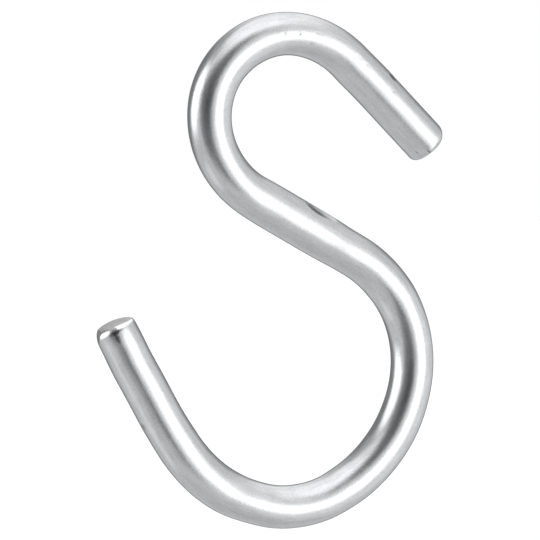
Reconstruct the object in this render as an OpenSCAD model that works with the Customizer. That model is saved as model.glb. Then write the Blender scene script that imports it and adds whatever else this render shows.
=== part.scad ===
// S hook bent cold from one length of round steel wire and bright zinc plated.
// The hook hangs in the XZ plane as it does in use. The origin is the inside top of the
// upper loop, where the hook rests on its rail, +Z is up and the front looks along -Y.
// All bend radii are measured to the centre of the wire.

/* [Wire] */
// Diameter of the wire
wire_d = 6.35; // [4:0.05:8]

/* [Upper loop] */
// Straight length of the upper tail, to its tip
upper_tail_l = 17.8; // [8:0.1:30]
// Bend radius of the shoulder, where the crown eases into the upper tail
shoulder_r = 14.25; // [10:0.25:24]
// Turn of the shoulder
shoulder_a = 35; // [20:1:45]
// Bend radius of the crown, the top of the upper loop
crown_r = 12; // [9:0.25:16]
// Turn of the crown from its top to the shoulder
crown_front_a = 10.2; // [5:0.1:20]
// Turn of the crown from its top to the back
crown_back_a = 101.8; // [85:0.1:115]
// Bend radius of the back of the upper loop
back_r = 13.75; // [9:0.25:20]
// Turn of the back of the upper loop
back_a = 49; // [35:1:60]

/* [Waist] */
// Straight length between the two loops
waist_l = 17.4; // [10:0.1:30]

/* [Lower loop] */
// Bend radius of the hip, the first bend below the waist
hip_r = 17.75; // [12:0.25:26]
// Turn of the hip
hip_a = 69; // [55:1:80]
// Bend radius of the belly, the wide side of the lower loop
belly_r = 21.75; // [15:0.25:30]
// Turn of the belly
belly_a = 44; // [30:1:55]
// Bend radius of the bowl, the seat of the load
bowl_r = 18.75; // [12:0.25:26]
// Turn of the bowl
bowl_a = 97; // [80:1:105]
// Straight length of the lower tail, to its tip
lower_tail_l = 20.2; // [8:0.1:30]

/* [Cropped ends] */
// Rounding of the upper tip
upper_edge_r = 1.8; // [0.4:0.1:1.9]
// Slant of the crop on the upper tip
upper_crop_a = 4; // [2:1:15]
// Rounding of the lower tip
lower_edge_r = 0.6; // [0.2:0.1:1.9]
// Slant of the crop on the lower tip
lower_crop_a = 4; // [2:1:15]
// Length of the flat that the shear blade pressed into the lower tip
blade_flat_l = 3; // [1:0.25:5]
// Depth of that flat at the tip
blade_flat_depth = 0.65; // [0.1:0.05:0.8]

/* [Tool marks] */
// Distance of the bending tool's mark from the start of the waist
press_at = 9.75; // [5:0.25:12]
// Length of the mark
press_l = 6; // [2:0.1:8]
// Depth of the mark
press_depth = 0.25; // [0.05:0.05:0.5]
// Turn of the mark from the waist's upper edge towards the front
press_turn_a = 26; // [0:1:60]
// Distance of the small nick from the start of the upper tail
nick_at = 5.5; // [2:0.25:7]
// Length of the nick
nick_l = 1.9; // [0.5:0.1:4]
// Depth of the nick
nick_depth = 0.1; // [0.05:0.05:0.3]
// Turn of the nick from the tail's outer edge towards the front
nick_turn_a = 22; // [0:1:60]

/* [Hidden] */
$fn = 96;
wire_r = wire_d / 2;
// How much finer the wire's radius is in a lapped bend
neck = 0.005;
// Turn by which a lapped bend reaches into its neighbours
lap_a = 0.25;

// Radius of a round tool that leaves a mark of length l and the given depth
function tool_r(l, depth) = (l * l / 4 + depth * depth) / (2 * depth);

// Every length of wire starts at the origin and runs along +Z, and every bend turns towards -X.
// What follows a length is drawn as its children and starts at its far end.

// Bend of the wire. Its arc can be drawn finer, and longer at both ends.
module bend(r, a, finer = 0, longer_a = 0) {
  translate([-r, 0, 0]) {
    rotate([90, 0, 0]) rotate_extrude(angle = a + 2 * longer_a, start = -longer_a)
      translate([r, 0]) circle(r = wire_r - finer);
    rotate([0, -a, 0]) translate([r, 0, 0]) children();
  }
}

// Bend that necks a little and laps into the lengths before and after it
module lapped_bend(r, a) { bend(r, a, neck, lap_a) children(); }

// Half a turn of the wire about itself, so that the next bends go the other way
module half_turn() { rotate([0, 0, 180]) children(); }

// Round tool pressed into the -X side of the wire, turned about the wire towards -Y
module tool_mark(at, l, depth, turn_a) {
  r = tool_r(l, depth);
  translate([0, 0, at]) rotate([0, 0, turn_a]) translate([depth - wire_r - r, 0, 0]) rotate([90, 0, 0])
    cylinder(r = r, h = wire_d, center = true);
}

// Straight tail with a rounded tip, cropped at a slant that leaves the +X side the longer
module cropped_tail(l, edge_r, crop_a) {
  flat_r = wire_r - edge_r;
  difference() {
    rotate_extrude() {
      square([wire_r, l - edge_r]);
      square([flat_r, l]);
      intersection() {
        translate([flat_r, l - edge_r]) circle(r = edge_r);
        square([wire_r, l]);
      }
    }
    translate([flat_r, 0, l]) rotate([0, -crop_a, 0]) translate([-wire_d, -wire_r, 0])
      cube([wire_d + wire_r, wire_d, wire_d]);
  }
}

// Upper tail, with a nick in its outer edge
module upper_tail() {
  difference() {
    cropped_tail(upper_tail_l, upper_edge_r, upper_crop_a);
    half_turn() tool_mark(nick_at, nick_l, nick_depth, nick_turn_a);
  }
}

// Straight waist, with the mark of the bending tool on its upper edge
module waist() {
  difference() {
    cylinder(r = wire_r, h = waist_l);
    tool_mark(press_at, press_l, press_depth, press_turn_a);
  }
  translate([0, 0, waist_l]) children();
}

// Lower tail, with a flat on its outer side where the shear blade went in
module lower_tail() {
  difference() {
    cropped_tail(lower_tail_l, lower_edge_r, lower_crop_a);
    translate([wire_r, -wire_r, lower_tail_l - blade_flat_l]) rotate([0, -atan(blade_flat_depth / blade_flat_l), 0])
      cube([wire_d, wire_d, blade_flat_l + wire_d]);
  }
}

// The wire is bent both ways from the top of the crown
module hook_wire() {
  color([0.75, 0.76, 0.78]) translate([0, 0, wire_r]) {
    rotate([0, -90, 180])
      bend(crown_r, crown_front_a)
      lapped_bend(shoulder_r, shoulder_a)
      upper_tail();
    rotate([0, -90, 0])
      bend(crown_r, crown_back_a)
      lapped_bend(back_r, back_a)
      waist()
      half_turn()
      lapped_bend(hip_r, hip_a)
      bend(belly_r, belly_a)
      lapped_bend(bowl_r, bowl_a)
      lower_tail();
  }
}

hook_wire();
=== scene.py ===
from math import cos, radians, sin

import bpy
import numpy as np
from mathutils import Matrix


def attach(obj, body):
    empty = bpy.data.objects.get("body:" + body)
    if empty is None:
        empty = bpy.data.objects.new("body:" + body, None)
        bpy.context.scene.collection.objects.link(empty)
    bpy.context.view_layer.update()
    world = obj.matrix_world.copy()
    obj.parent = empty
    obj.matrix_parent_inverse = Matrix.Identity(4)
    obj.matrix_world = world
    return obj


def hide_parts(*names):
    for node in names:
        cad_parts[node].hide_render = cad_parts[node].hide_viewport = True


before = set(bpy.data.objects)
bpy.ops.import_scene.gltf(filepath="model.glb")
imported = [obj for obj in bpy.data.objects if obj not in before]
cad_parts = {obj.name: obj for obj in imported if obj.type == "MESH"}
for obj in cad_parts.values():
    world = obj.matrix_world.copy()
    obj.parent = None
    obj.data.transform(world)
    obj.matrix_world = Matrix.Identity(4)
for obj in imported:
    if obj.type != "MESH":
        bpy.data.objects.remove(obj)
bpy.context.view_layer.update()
print("frame loaded:", sorted(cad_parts))

mm = 0.001


# one output socket; arithmetic on it adds Math nodes to its tree
class Value:
    def __init__(self, bench, socket):
        self.bench = bench
        self.socket = socket

    # one Math node: its operation, and its terms in order
    def calc(self, operation, *terms):
        return self.bench.node("ShaderNodeMath", {"operation": operation}, dict(enumerate(terms)))["Value"]

    def __add__(self, other):
        return self.calc("ADD", self, other)

    def __radd__(self, other):
        return self.calc("ADD", other, self)

    def __sub__(self, other):
        return self.calc("SUBTRACT", self, other)

    def __rsub__(self, other):
        return self.calc("SUBTRACT", other, self)

    def __mul__(self, other):
        return self.calc("MULTIPLY", self, other)

    def __rmul__(self, other):
        return self.calc("MULTIPLY", other, self)

    def __truediv__(self, other):
        return self.calc("DIVIDE", self, other)

    def __rtruediv__(self, other):
        return self.calc("DIVIDE", other, self)

    def __pow__(self, other):
        return self.calc("POWER", self, other)

    def __rpow__(self, other):
        return self.calc("POWER", other, self)

    def __neg__(self):
        return self.calc("MULTIPLY", self, -1.0)

    def __abs__(self):
        return self.calc("ABSOLUTE", self)


# the emptied node tree of a material or of the world
class Bench:
    def __init__(self, owner):
        owner.use_nodes = True
        self.tree = owner.node_tree
        self.tree.nodes.clear()

    # makes a node: settings go in first, then the value or link of each socket; gives its outputs by name
    def node(self, kind, settings=None, sockets=None):
        made = self.tree.nodes.new(kind)
        for name, value in (settings or {}).items():
            if name == "stops":
                self.setStops(made.color_ramp.elements, value)
            else:
                setattr(made, name, value)
        for name, value in (sockets or {}).items():
            if isinstance(value, Value):
                self.tree.links.new(value.socket, made.inputs[name])
            else:
                made.inputs[name].default_value = value
        return {out.name: Value(self, out) for out in made.outputs if out.enabled}

    # grey stops of a ramp: place and level of each
    def setStops(self, ramp, stops):
        while len(ramp) < len(stops):
            ramp.new(1.0)
        for stop, (place, level) in zip(ramp, stops):
            stop.position = place
            stop.color = (level, level, level, 1.0)

    # smooth step: 0 at the start, 1 at the end
    def smooth(self, value, start, end):
        return self.node("ShaderNodeMapRange", {"interpolation_type": "SMOOTHSTEP"},
                         {"Value": value, "From Min": start, "From Max": end})["Result"]

    # noise of a finish: its places are stretched first, then read at its scale
    def noise(self, places, look):
        stretched = self.node("ShaderNodeVectorMath", {"operation": "MULTIPLY"},
                              {0: places, 1: look["stretch"]})["Vector"]
        return self.node("ShaderNodeTexNoise", None,
                         {"Vector": stretched, "Scale": look["scale"], "Detail": look["detail"],
                          "Roughness": look["rough"]})["Fac"]

    # colour that goes from the first to the second as the share goes from 0 to 1
    def mix(self, share, first, second):
        return self.node("ShaderNodeMix", {"data_type": "RGBA"},
                         {"Factor": share, "A": first, "B": second})["Result"]

    # what the mesh carries under the name, read from the given output
    def carried(self, name, output):
        return self.node("ShaderNodeAttribute", {"attribute_name": name})[output]


# smooth step in numpy: 0 before start, 1 after end, 3t^2 - 2t^3 between them
def ease(x, start, end):
    t = np.clip((x - start) / (end - start), 0.0, 1.0)
    return t * t * (3.0 - 2.0 * t)


# lengths are in mm; places are measured along the wire from its upper tip; angles round the wire are 0 on the
# left hand of the way from the upper tip to the lower one, and 90 at the front
hookWire = {
    "radius": 3.175,
    # straight: length and no turn; bend: radius and turn
    "runs": {
        "upperTail": (17.8, 0), "shoulder": (14.25, 35), "crown": (12.0, 112), "back": (13.75, 49),
        "waist": (17.4, 0), "hip": (17.75, -69), "belly": (21.75, -44), "bowl": (18.75, -97),
        "lowerTail": (20.4, 0)},
    "crownFront": 10.2,             # turn of the crown from the shoulder to its top
    "ringPoints": 120,
    "rowStep": 0.24,                # between rings, on the average
    "densitySteps": 6000,
    # where rings stand closer: reach, and how many more of them in the middle
    "crowds": {"upperTip": (2.5, 1.4), "lowerTip": (3.0, 2.0), "pressMark": (2.6, 1.2), "nick": (1.0, 2.5),
               "scuffs": (8.0, 0.5)},
    "scuffMiddle": 22.0,
    # cropped tips: length lost to the shear; rounding of the edge, how much more of it on the rolled side
    # and how much less at the front; bulge of the face; slant and its long side; arch of the face and the
    # side that it falls to; rows over the face and over the edge
    "upperTip": {"lost": 0.15, "edge": 1.35, "more": 0.5, "rolled": 190, "sharper": 0.4, "dome": 0.05,
                 "crop": 2, "longSide": 180, "arch": 0.0, "archSide": 0,
                 "faceSteps": 8, "edgeSteps": 16},
    "lowerTip": {"lost": 0.0, "edge": 0.72, "more": 0.42, "rolled": 20, "sharper": 0.0, "dome": 0.06,
                 "crop": 6.5, "longSide": -5, "arch": 0.28, "archSide": -15,
                 "faceSteps": 14, "edgeSteps": 12},
    "tipRoom": 6.0,                 # length of body that draws back behind each rounding
    "cutFade": 0.6,                 # radians of the rounding over which the look of the cut face ends
    # what the bending left: place, and the share of the wire's width in the plane of the hook
    "squeeze": [(0, 1.0), (12, 1.0), (25, 0.98), (38, 1.01), (55, 1.0), (69, 1.045), (82, 0.995), (97, 0.978),
                (112, 1.003), (129, 0.985), (145, 1.02), (158, 1.0), (169, 0.985)],
    "squeezeReach": 5.0,
    # place, and how far the line strays to the right of its way
    "sway": [(0, 0.08), (10, 0.07), (21, -0.10), (33, -0.12), (45, -0.08), (55, -0.01), (68, 0.02),
             (80, 0.02), (93, -0.06), (105, -0.08), (116, -0.03), (128, -0.25), (137, 0.06), (146, 0.14),
             (153, -0.16), (160, 0.06), (169, 0.40)],
    "swayReach": 4.5,
    # dents of round tools: place, angle, half length, half angle, depth
    "dents": {
        "pressMark": (71.2, 29, 2.8, 20.5, 0.26),
        "nick": (12.05, 148, 1.0, 14, 0.12),
        "nickBurr": (13.0, 156, 0.35, 10, -0.05)},
    "dentSoft": 0.02,               # softness of the rim
    # dark patches, laid out like the dents, with their share of dark colour in place of the depth; some are
    # dirt in the marks, others are painted shade and painted dark reflection, as noted at each
    "darkPatches": {
        # the press mark's patches: partly scuffed plating, partly painted dark reflection on the dent's low
        # wall
        "pressMark": (70.6, 36, 2.3, 16, 0.85),
        "pressStart": (69.6, 27, 1.0, 16, 0.6),
        "nick": (12.05, 147, 1.0, 13, 1.0),
        # painted grey breaks in the crown's highlight, in place of the dark reflection of small dents
        "crownTickShade": (27.9, 88, 0.36, 12, 0.6),
        "crownTickShadeLeft": (30.2, 91, 0.36, 9, 0.62),
        # painted shadow of the burr at the lower tip's front rim, and below it a painted dark reflection
        # along the tail
        "lowerBurrShadow": (168.42, 71, 0.82, 21, 0.8),
        "lowerTipDarkReflection": (167.5, 71, 1.4, 11, 0.7),
        # painted shadows of small burrs at the upper tip's rim
        "upperBurrShadow": (0.75, 66, 0.7, 7, 0.6),
        "upperBurrShadowRight": (0.6, 97, 0.35, 6, 0.55),
        "upperBurrShadowLeft": (1.8, 38, 0.6, 5, 0.62),
        "bowl": (154.1, 12, 1.1, 11, 0.6)},
    "darkPatchSoft": 0.05,
    # specks of dirt and painted burr shadow
    "rimDirtAndShade": 0.14,                # on the upper tip's rounding
    # scuffs, all of one depth and one share of dark colour, partly scuffed plating and partly painted grey
    # breaks in the highlight: place, angle, half length, half angle
    "scuffs": [(11.0, 105, 1.0, 8), (16.5, 103, 0.7, 7), (18.2, 101, 0.7, 7), (19.2, 93, 0.5, 6),
               (25.2, 98, 0.8, 7), (25.7, 66, 0.6, 7), (27.9, 86, 0.5, 7), (30.2, 87, 0.6, 8)],
    "scuffDepth": 0.02,
    "scuffSoft": 0.002,
    "scuffDirtAndShade": 0.42,
    "scuffDirtAndShadeSoft": 0.02,
    # the shear's marks on the lower tip: a flat on the outer side and a slow roll over the front
    "bladeFlat": {"length": 3.2, "depth": 1.42, "angle": -14, "soft": 0.05, "leastCos": 0.2},
    "bladeRoll": {"length": 2.9, "depth": 0.32, "angle": 62},
}


# start of each run along the wire, its turn and its length; a bend's length is its radius times its turn
def wireRuns():
    sizes, turns = np.array(list(hookWire["runs"].values()), float).T
    turns = np.radians(turns)
    lengths = np.where(turns == 0, sizes, sizes * np.abs(turns))
    return np.concatenate([[0.0], np.cumsum(lengths)]), turns, lengths


# centre line: in a run of length l and turn a, the place is the run's start plus a chord l*sinc(a/2) that
# points half the turn on; a straight is the case a = 0. Gives x, z and the heading.
def wireLine(along):
    starts, turns, lengths = wireRuns()
    headings = np.concatenate([[0.0], np.cumsum(turns)])
    half = turns / 2
    aims = headings[:-1] + half
    chords = (lengths * np.sinc(half / np.pi))[:, None] * np.stack([np.cos(aims), np.sin(aims)], 1)
    corners = np.concatenate([[[0.0, 0.0]], np.cumsum(chords, 0)])
    k = np.clip(np.searchsorted(starts, along, side="right") - 1, 0, len(lengths) - 1)
    into = along - starts[k]
    part = turns[k] * into / lengths[k]
    chord = into * np.sinc(part / 2 / np.pi)
    aim = headings[k] + part / 2
    return corners[k, 0] + chord * np.cos(aim), corners[k, 1] + chord * np.sin(aim), headings[k] + part


# the line turned and moved so that the crown's top heads along -X, over the origin by the wire's radius
def placedLine(along):
    crownStart = wireRuns()[0][list(hookWire["runs"]).index("crown")]
    crownRadius = hookWire["runs"]["crown"][0]
    top = np.array([crownStart + crownRadius * radians(hookWire["crownFront"])])
    topX, topZ, topHeading = wireLine(top)
    x, z, heading = wireLine(along)
    turn = np.pi - topHeading
    dx = x - topX
    dz = z - topZ
    return (dx * np.cos(turn) - dz * np.sin(turn),
            dx * np.sin(turn) + dz * np.cos(turn) + hookWire["radius"], heading + turn)


# rings along the body: equal steps of the running sum of a density, which is 1 and a bell for each crowd
def bodyRows(length):
    middles = {name: dent[0] for name, dent in hookWire["dents"].items()}
    middles.update(upperTip=0.0, lowerTip=length, scuffs=hookWire["scuffMiddle"])
    fine = np.linspace(0.0, length, hookWire["densitySteps"])
    density = np.ones_like(fine)
    for name, (reach, more) in hookWire["crowds"].items():
        density += more * np.exp(-((fine - middles[name]) / reach) ** 2)
    total = np.cumsum(density)
    count = int(length / hookWire["rowStep"])
    return np.interp(np.linspace(total[0], total[-1], count), total, fine)


# smooth reading of a table: the mean of its values, each weighted by a bell of its distance
def smoothTable(table, along, reach):
    places, values = np.array(table).T
    weight = np.exp(-((along[..., None] - places) / reach) ** 2)
    return (weight * values).sum(-1) / weight.sum(-1)


# tip of the wire: its face grows from the middle to the rounding, which is a quarter circle of radius edge,
# larger on the rolled side. Gives depth below the tip, distance from the axis and the shares of cut face and
# of rim, row by row, and the depth at which the body starts.
def tipRows(tip, angle):
    radius = hookWire["radius"]
    edge = (tip["edge"] + tip["more"] * np.cos(angle - radians(tip["rolled"]))
            - tip["sharper"] * np.maximum(np.sin(angle), 0.0) ** 2)
    share = (np.arange(1, tip["faceSteps"] + 1) / tip["faceSteps"])[:, None]
    quarter = (np.arange(1, tip["edgeSteps"] + 1) / tip["edgeSteps"] * np.pi / 2)[:, None]
    faceOut = share * (radius - edge)
    edgeOut = radius - edge + edge * np.sin(quarter)
    out = np.concatenate([faceOut, edgeOut])
    depth = np.concatenate([0 * faceOut, edge * (1 - np.cos(quarter))])
    depth = depth + tip["dome"] * (out / radius) ** 2
    cut = np.concatenate([1 + 0 * faceOut, 1 - ease(quarter, 0.0, hookWire["cutFade"]) + 0 * edge])
    rim = np.concatenate([0 * faceOut, np.sin(2 * quarter) + 0 * edge])
    return depth, out, cut, rim, edge + tip["dome"]


# lost length, slant and arch of a tip: depth grows with the distance from the long side, and with the square
# of the distance from the arch's ridge
def cropDepth(tip, out, angle):
    flat = hookWire["radius"] - tip["edge"]
    slant = np.tan(radians(tip["crop"])) * (flat - out * np.cos(angle - radians(tip["longSide"])))
    aside = out * np.cos(angle - radians(tip["archSide"])) / hookWire["radius"]
    return tip["lost"] + slant + tip["arch"] * aside * aside


# flat of the given depth pressed into a round of radius r: the plane's distance over the cosine, and the
# smaller of it and r with a soft corner
def pressed(r, angle, flat, depth):
    clear = 99.0                    # where the plane faces away it stands clear of the wire
    aside = np.cos(angle - radians(flat["angle"]))
    distance = (hookWire["radius"] - depth) / np.maximum(aside, flat["leastCos"])
    plane = np.where(aside > flat["leastCos"], distance, clear)
    gap = np.clip(0.5 + 0.5 * (r - plane) / flat["soft"], 0.0, 1.0)
    return r + (plane - r) * gap - flat["soft"] * gap * (1 - gap)


# the shear's marks on the lower tip: the flat deepens with the cube of the nearness to the end and lifts
# clear of the wire away from it; the roll deepens with the square, and with the cosine from its middle
def sheared(out, toEnd, angle):
    flat = hookWire["bladeFlat"]
    near = np.maximum(1 - toEnd / flat["length"], -1.0)
    out = pressed(out, angle, flat, flat["depth"] * near ** 3)
    roll = hookWire["bladeRoll"]
    near = np.clip(1 - toEnd / roll["length"], 0.0, 1.0)
    facing = np.maximum(np.cos(angle - radians(roll["angle"])), 0)
    return out - roll["depth"] * near * near * facing * (out / hookWire["radius"])


# depth of a dent: it falls with the square of the distance from the middle, in half sizes, and ends in a soft
# rim; a negative depth stands out
def dentDepth(dent, soft, along, angle):
    middle, facing, half, halfAngle, depth = dent
    aside = np.degrees(np.angle(np.exp(1j * (angle - radians(facing)))))
    bowl = abs(depth) * (1 - ((along - middle) / half) ** 2 - (aside / halfAngle) ** 2)
    return np.sign(depth) * 0.5 * (bowl + np.sqrt(bowl * bowl + soft * soft))


# whole wire as one grid of rings: face, rounding, body, rounding, face. Gives place, angle and distance from
# the axis of each point, and its shares of cut face, of dirt with painted shade, and of rubbed rim.
def hookGrid():
    radius = hookWire["radius"]
    length = wireRuns()[0][-1]
    angle = (np.arange(hookWire["ringPoints"]) / hookWire["ringPoints"] * 2 * np.pi)[None, :]
    body = bodyRows(length)[1:-1, None]
    upper = hookWire["upperTip"]
    lower = hookWire["lowerTip"]
    upDepth, upOut, upCut, upRim, upEdge = tipRows(upper, angle)
    lowDepth, lowOut, lowCut, lowRim, lowEdge = tipRows(lower, angle)
    # the body's first and last rings draw back to leave room for the roundings
    reach = hookWire["tipRoom"]
    upRoom = upEdge + cropDepth(upper, radius, angle)
    lowRoom = lowEdge + cropDepth(lower, radius, angle)
    bodyAlong = (body + upRoom * np.clip(1 - body / reach, 0, 1)
                 - lowRoom * np.clip(1 - (length - body) / reach, 0, 1))
    along = np.concatenate([upDepth + cropDepth(upper, upOut, angle), bodyAlong,
                            (length - lowDepth - cropDepth(lower, lowOut, angle))[::-1]])
    out = np.concatenate([upOut, radius + 0 * bodyAlong, lowOut[::-1]])
    worn = np.concatenate([upCut, 0 * bodyAlong, lowCut[::-1]])
    rim = np.concatenate([0 * upRim, 0 * bodyAlong, lowRim[::-1]])
    angle = angle + 0 * along
    out = sheared(out, length - along, angle)
    dents = [(dent, hookWire["dentSoft"]) for dent in hookWire["dents"].values()]
    dents += [((*scuff, hookWire["scuffDepth"]), hookWire["scuffSoft"]) for scuff in hookWire["scuffs"]]
    for dent, soft in dents:
        out = out - dentDepth(dent, soft, along, angle) * (out / radius)
    # share of dirt and painted shade: specks on the upper tip's rounding, then the dark patches and the
    # scuffs
    dirt = hookWire["rimDirtAndShade"] * np.concatenate([upRim, 0 * bodyAlong, 0 * lowRim])
    darkPatches = [(darkPatch, hookWire["darkPatchSoft"]) for darkPatch in hookWire["darkPatches"].values()]
    darkPatches += [((*scuff, hookWire["scuffDirtAndShade"]), hookWire["scuffDirtAndShadeSoft"]) for scuff in hookWire["scuffs"]]
    for darkPatch, soft in darkPatches:
        dirt = np.maximum(dirt, dentDepth(darkPatch, soft, along, angle))
    return along, angle, out, {"worn": worn, "dirt": dirt, "rim": rim}


# faces of the grid: a quad between neighbours on two rings, and a fan from a pole to the first and last ring
def gridFaces(rows, ring):
    i, j = np.meshgrid(np.arange(rows - 1), np.arange(ring), indexing="ij")
    after = (j + 1) % ring
    quads = np.stack([i * ring + j, i * ring + after, (i + 1) * ring + after, (i + 1) * ring + j], -1)
    j = np.arange(ring)
    after = (j + 1) % ring
    firstPole = rows * ring
    lastPole = firstPole + 1
    lastRing = firstPole - ring
    firstFan = np.stack([0 * j + firstPole, after, j], -1)
    lastFan = np.stack([0 * j + lastPole, lastRing + j, lastRing + after], -1)
    return quads.reshape(-1, 4), np.concatenate([firstFan, lastFan])


# points of the wire: each stands off the centre line by its distance from the axis, at its angle; the width
# in the plane of the hook is multiplied by the squeeze, and the width across it is divided by it
def buildHook():
    along, angle, out, shares = hookGrid()
    x, z, heading = placedLine(along)
    wide = smoothTable(hookWire["squeeze"], along, hookWire["squeezeReach"])
    stray = smoothTable(hookWire["sway"], along, hookWire["swayReach"])
    inPlane = out * np.cos(angle) * wide
    inDepth = out * np.sin(angle) / wide
    aside = inPlane - stray
    points = np.stack([x - np.sin(heading) * aside, -inDepth, z + np.cos(heading) * aside], -1)
    drawn = np.stack([along, inPlane, inDepth], -1)   # place in the straight wire before it was bent
    poles = points[[0, -1]].mean(1)
    vertices = np.concatenate([points.reshape(-1, 3), poles]) * mm
    drawn = np.concatenate([drawn.reshape(-1, 3), drawn[[0, -1]].mean(1)]).astype(np.float32)
    quads, fans = gridFaces(*along.shape)
    mesh = bpy.data.meshes.new("hookWire")
    mesh.from_pydata(vertices.tolist(), [], quads.tolist() + fans.tolist())
    mesh.attributes.new("drawn", "FLOAT_VECTOR", "POINT").data.foreach_set("vector", drawn.ravel())
    for name, share in shares.items():
        share = np.concatenate([share.ravel(), share[[0, -1]].mean(1)])
        mesh.attributes.new(name, "FLOAT", "POINT").data.foreach_set("value", share.astype(np.float32))
    mesh.polygons.foreach_set("use_smooth", np.ones(len(mesh.polygons), bool))
    mesh.update()
    hook = bpy.data.objects.new("hookWire", mesh)
    bpy.context.collection.objects.link(hook)
    print("hook wire:", len(along), "rings,", 2 * len(quads) + len(fans), "triangles")
    return hook


zincFinish = {
    "dark": (0.682, 0.697, 0.711, 1.0),
    "light": (0.808, 0.825, 0.841, 1.0),
    "sheared": (0.57, 0.57, 0.575, 1.0),
    "torn": (0.74, 0.74, 0.74, 1.0),    # lighter streaks of the sheared face
    "burnished": (0.97, 0.97, 0.972, 1.0),
    # dark colour of dirt, also used for painted shade, painted shadow and painted dark reflection in the
    # marks
    "dirtAndPaintedShade": (0.27, 0.27, 0.275, 1.0),
    "roughness": 0.24,
    "shearedRoughness": 0.62,
    "streakRoughness": 0.08,
    "grainRoughness": 0.06,
    "streakDepth": 3e-6,                # metres
    "grainDepth": 9.5e-6,
    # noises: stretch along the wire, in the hook's plane and across it; scale per mm
    "streaks": {"stretch": (0.16, 1.0, 1.0), "scale": 2.2, "detail": 3.0, "rough": 0.6},
    "blotches": {"stretch": (1.0, 1.0, 1.0), "scale": 0.5, "detail": 2.0, "rough": 0.5},
    "grain": {"stretch": (1.0, 1.0, 1.0), "scale": 3.2, "detail": 2.0, "rough": 0.6},
    "tears": {"stretch": (1.0, 0.35, 1.3), "scale": 1.6, "detail": 3.0, "rough": 0.6},
    # shares of the noises in the tone; how much the grain frays the cut face and the dirt with painted shade
    "streakShare": 0.47,
    "blotchShare": 0.18,
    "grainShare": 0.35,
    "cutFray": 0.5,
    "dirtAndShadeFray": 0.9,
    # where each mask starts and is full
    "toneRange": (0.36, 0.64),
    "tearRange": (0.35, 0.65),
    "cutRange": (0.3, 0.7),
    "dirtAndShadeRange": (0.25, 0.75),
}


# bright zinc over drawn wire: the die's lines run along the wire, and the plating has a fine grain; a noise
# less a half swings about zero
def makeZinc():
    zinc = bpy.data.materials.new("brightZinc")
    bench = Bench(zinc)
    drawn = bench.carried("drawn", "Vector")
    streaks = bench.noise(drawn, zincFinish["streaks"])
    blotches = bench.noise(drawn, zincFinish["blotches"])
    grain = bench.noise(drawn, zincFinish["grain"])
    blend = (streaks * zincFinish["streakShare"] + blotches * zincFinish["blotchShare"]
             + grain * zincFinish["grainShare"])
    tone = bench.smooth(blend, *zincFinish["toneRange"])
    plated = bench.mix(tone, zincFinish["dark"], zincFinish["light"])
    rubbed = bench.mix(bench.carried("rim", "Fac"), plated, zincFinish["burnished"])
    tears = bench.smooth(bench.noise(drawn, zincFinish["tears"]), *zincFinish["tearRange"])
    face = bench.mix(tears, zincFinish["sheared"], zincFinish["torn"])
    frayed = bench.carried("worn", "Fac") + (grain - 0.5) * zincFinish["cutFray"]
    cut = bench.smooth(frayed, *zincFinish["cutRange"])
    clean = bench.mix(cut, rubbed, face)
    # dirt and painted shade: the carried share, frayed by the grain, darkens the colour
    frayed = bench.carried("dirt", "Fac") + (grain - 0.5) * zincFinish["dirtAndShadeFray"]
    dirtAndPaintedShade = bench.smooth(frayed, *zincFinish["dirtAndShadeRange"])
    colour = bench.mix(dirtAndPaintedShade, clean, zincFinish["dirtAndPaintedShade"])
    rough = (zincFinish["roughness"] + (streaks - 0.5) * zincFinish["streakRoughness"]
             + (grain - 0.5) * zincFinish["grainRoughness"]
             + cut * (zincFinish["shearedRoughness"] - zincFinish["roughness"]))
    height = streaks + grain * (zincFinish["grainDepth"] / zincFinish["streakDepth"])
    normal = bench.node("ShaderNodeBump", None, {"Height": height, "Strength": 1.0,
                                                 "Distance": zincFinish["streakDepth"]})["Normal"]
    surface = bench.node("ShaderNodeBsdfPrincipled", None, {"Base Color": colour, "Roughness": rough,
                                                            "Metallic": 1.0, "Normal": normal})["BSDF"]
    bench.node("ShaderNodeOutputMaterial", None, {"Surface": surface})
    print("zinc finish made")
    return zinc


studio = {
    # light of the room by height: from straight below to straight above
    "room": [(0.0, 0.52), (0.167, 0.60), (0.361, 0.64), (0.556, 0.66), (0.722, 0.80), (0.806, 0.98),
             (0.878, 1.12), (1.0, 1.14)],
    # panels and shades in degrees: longitude (0 at the front, more to the right), latitude, half sizes; then
    # softness, light and lean
    "panels": {
        "topPanel": (-6, 66, 42, 16, 0.55, 1.3, 0.0),
        "keyGlow": (46, -10, 50, 46, 0.45, 0.88, 0.0),
        "rightShade": (93, 32, 34, 15, 0.6, 0.65, 0.0),
        "backRightGlow": (141, 43, 20, 12, 0.5, 1.0, -1.0),
        "backRightShade": (127, 20, 19, 14, 0.55, 0.34, -0.2),
        "backdrop": (158, -2, 27, 26, 0.3, 0.10, 0.0),
        "backLeftShade": (-155, 13, 31, 38, 0.4, 0.22, 0.4),
        "leftGap": (-126, 50, 48, 9.5, 0.6, 0.4, 0.0),
        "leftGlow": (-100, -43, 20, 8, 0.6, 0.86, 0.0),
        "leftPanel": (-102, 14, 24, 24.5, 0.2, 1.65, 0.3),
        "cameraShade": (-40, 3, 28.5, 33, 0.4, 0.19, -0.14),
        "cameraDark": (-22, 21, 24, 21, 0.5, 0.13, 0.3),
        "cameraCore": (-30, 5, 13, 9, 0.5, 0.07, 0.0),
        "cameraLow": (-14, -25, 9, 6, 0.5, 0.18, 0.0),
        "keyPanel": (32.5, -7, 22, 24, 0.28, 1.7, 0.28)},
    "boxy": 2.6,                    # 2 gives ovals, more gives squarer panels
    "floorLight": 1.2,
    "backgroundLight": 1.0,
}


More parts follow.
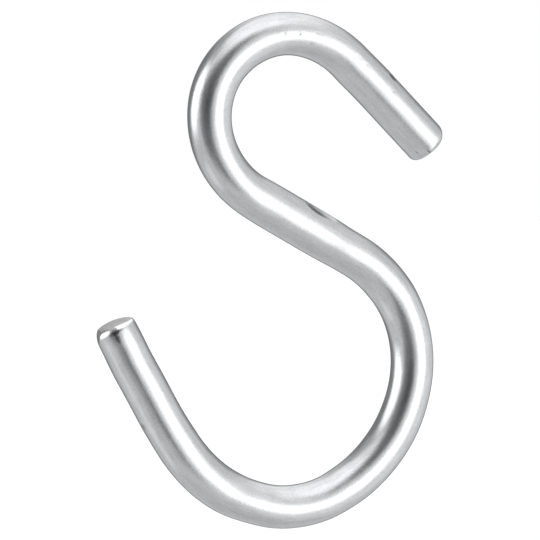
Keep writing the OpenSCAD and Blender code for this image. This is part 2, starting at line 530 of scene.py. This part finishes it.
# soft studio round the hook: the room's light by height, then each panel laid over it with a soft edge, where
# the distance from its middle, in half sizes, passes 1
def makeStudio():
    world = bpy.data.worlds.new("softStudio")
    bpy.context.scene.world = world
    bench = Bench(world)
    aim = bench.node("ShaderNodeTexCoord")["Generated"]
    part = bench.node("ShaderNodeSeparateXYZ", None, {"Vector": aim})
    halfTurn = 180.0
    degrees = halfTurn / np.pi
    longitude = part["X"].calc("ARCTAN2", part["X"], -part["Y"]) * degrees
    latitude = part["Z"].calc("ARCSINE", part["Z"]) * degrees
    height = latitude / halfTurn + 0.5      # 0 straight below, 1 straight above
    light = bench.node("ShaderNodeValToRGB", {"stops": studio["room"]}, {"Fac": height})["Color"]
    boxy = studio["boxy"]
    for lon, lat, halfLon, halfLat, soft, level, lean in studio["panels"].values():
        above = latitude - lat
        aside = longitude.calc("WRAP", longitude - above * lean - lon, halfTurn, -halfTurn)
        far = ((abs(aside) / halfLon) ** boxy + (abs(above) / halfLat) ** boxy) ** (1 / boxy)
        shown = bench.smooth(far, 1 + soft, 1 - soft)
        light = light + (level - light) * shown
    path = bench.node("ShaderNodeLightPath")
    light = light + path["Is Diffuse Ray"] * (studio["floorLight"] - light)
    light = light + path["Is Camera Ray"] * (studio["backgroundLight"] - light)
    surface = bench.node("ShaderNodeBackground", None, {"Color": light, "Strength": 1.0})["Background"]
    bench.node("ShaderNodeOutputWorld", None, {"Surface": surface})
    print("studio lit:", len(studio["panels"]), "panels")


# metres
paleFloor = {"height": -0.8, "half": 30.0, "colour": (0.92, 0.92, 0.92, 1.0)}


# one level square
def makeFloor():
    half = paleFloor["half"]
    height = paleFloor["height"]
    corners = [(-half, -half, height), (half, -half, height), (half, half, height), (-half, half, height)]
    mesh = bpy.data.meshes.new("paleFloor")
    mesh.from_pydata(corners, [], [(0, 1, 2, 3)])
    floor = bpy.data.objects.new("paleFloor", mesh)
    bpy.context.collection.objects.link(floor)
    paint = bpy.data.materials.new("palePaint")
    bench = Bench(paint)
    surface = bench.node("ShaderNodeBsdfDiffuse", None, {"Color": paleFloor["colour"]})["BSDF"]
    bench.node("ShaderNodeOutputMaterial", None, {"Surface": surface})
    mesh.materials.append(paint)
    floor.visible_glossy = False
    print("floor laid")


# metres and degrees; lens and sensor in mm
view = {"target": (-0.0027, 0.0, -0.030955), "distance": 0.6, "azimuth": -20.0, "elevation": 2.0,
        "lens": 277.79, "sensor": 36.0, "near": 0.01, "far": 100.0}


# the camera stands off the target by the distance, turned by the azimuth and raised by the elevation
def makeCamera():
    lens = bpy.data.cameras.new("photoCamera")
    lens.sensor_width = view["sensor"]
    lens.lens = view["lens"]
    lens.clip_start = view["near"]
    lens.clip_end = view["far"]
    camera = bpy.data.objects.new("photoCamera", lens)
    tilt = radians(view["elevation"])
    turn = radians(view["azimuth"])
    x, y, z = view["target"]
    level = view["distance"] * cos(tilt)
    camera.location = (x + level * sin(turn), y - level * cos(turn), z + view["distance"] * sin(tilt))
    camera.rotation_euler = (radians(90) - tilt, 0.0, turn)
    bpy.context.collection.objects.link(camera)
    bpy.context.scene.camera = camera
    bpy.context.scene.view_settings.view_transform = "Standard"
    print("camera set")


makeCamera()
makeFloor()
makeStudio()
hook = buildHook()
hook.data.materials.append(makeZinc())
hook.visible_glossy = False
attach(hook, "root")
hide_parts("hook_wire")
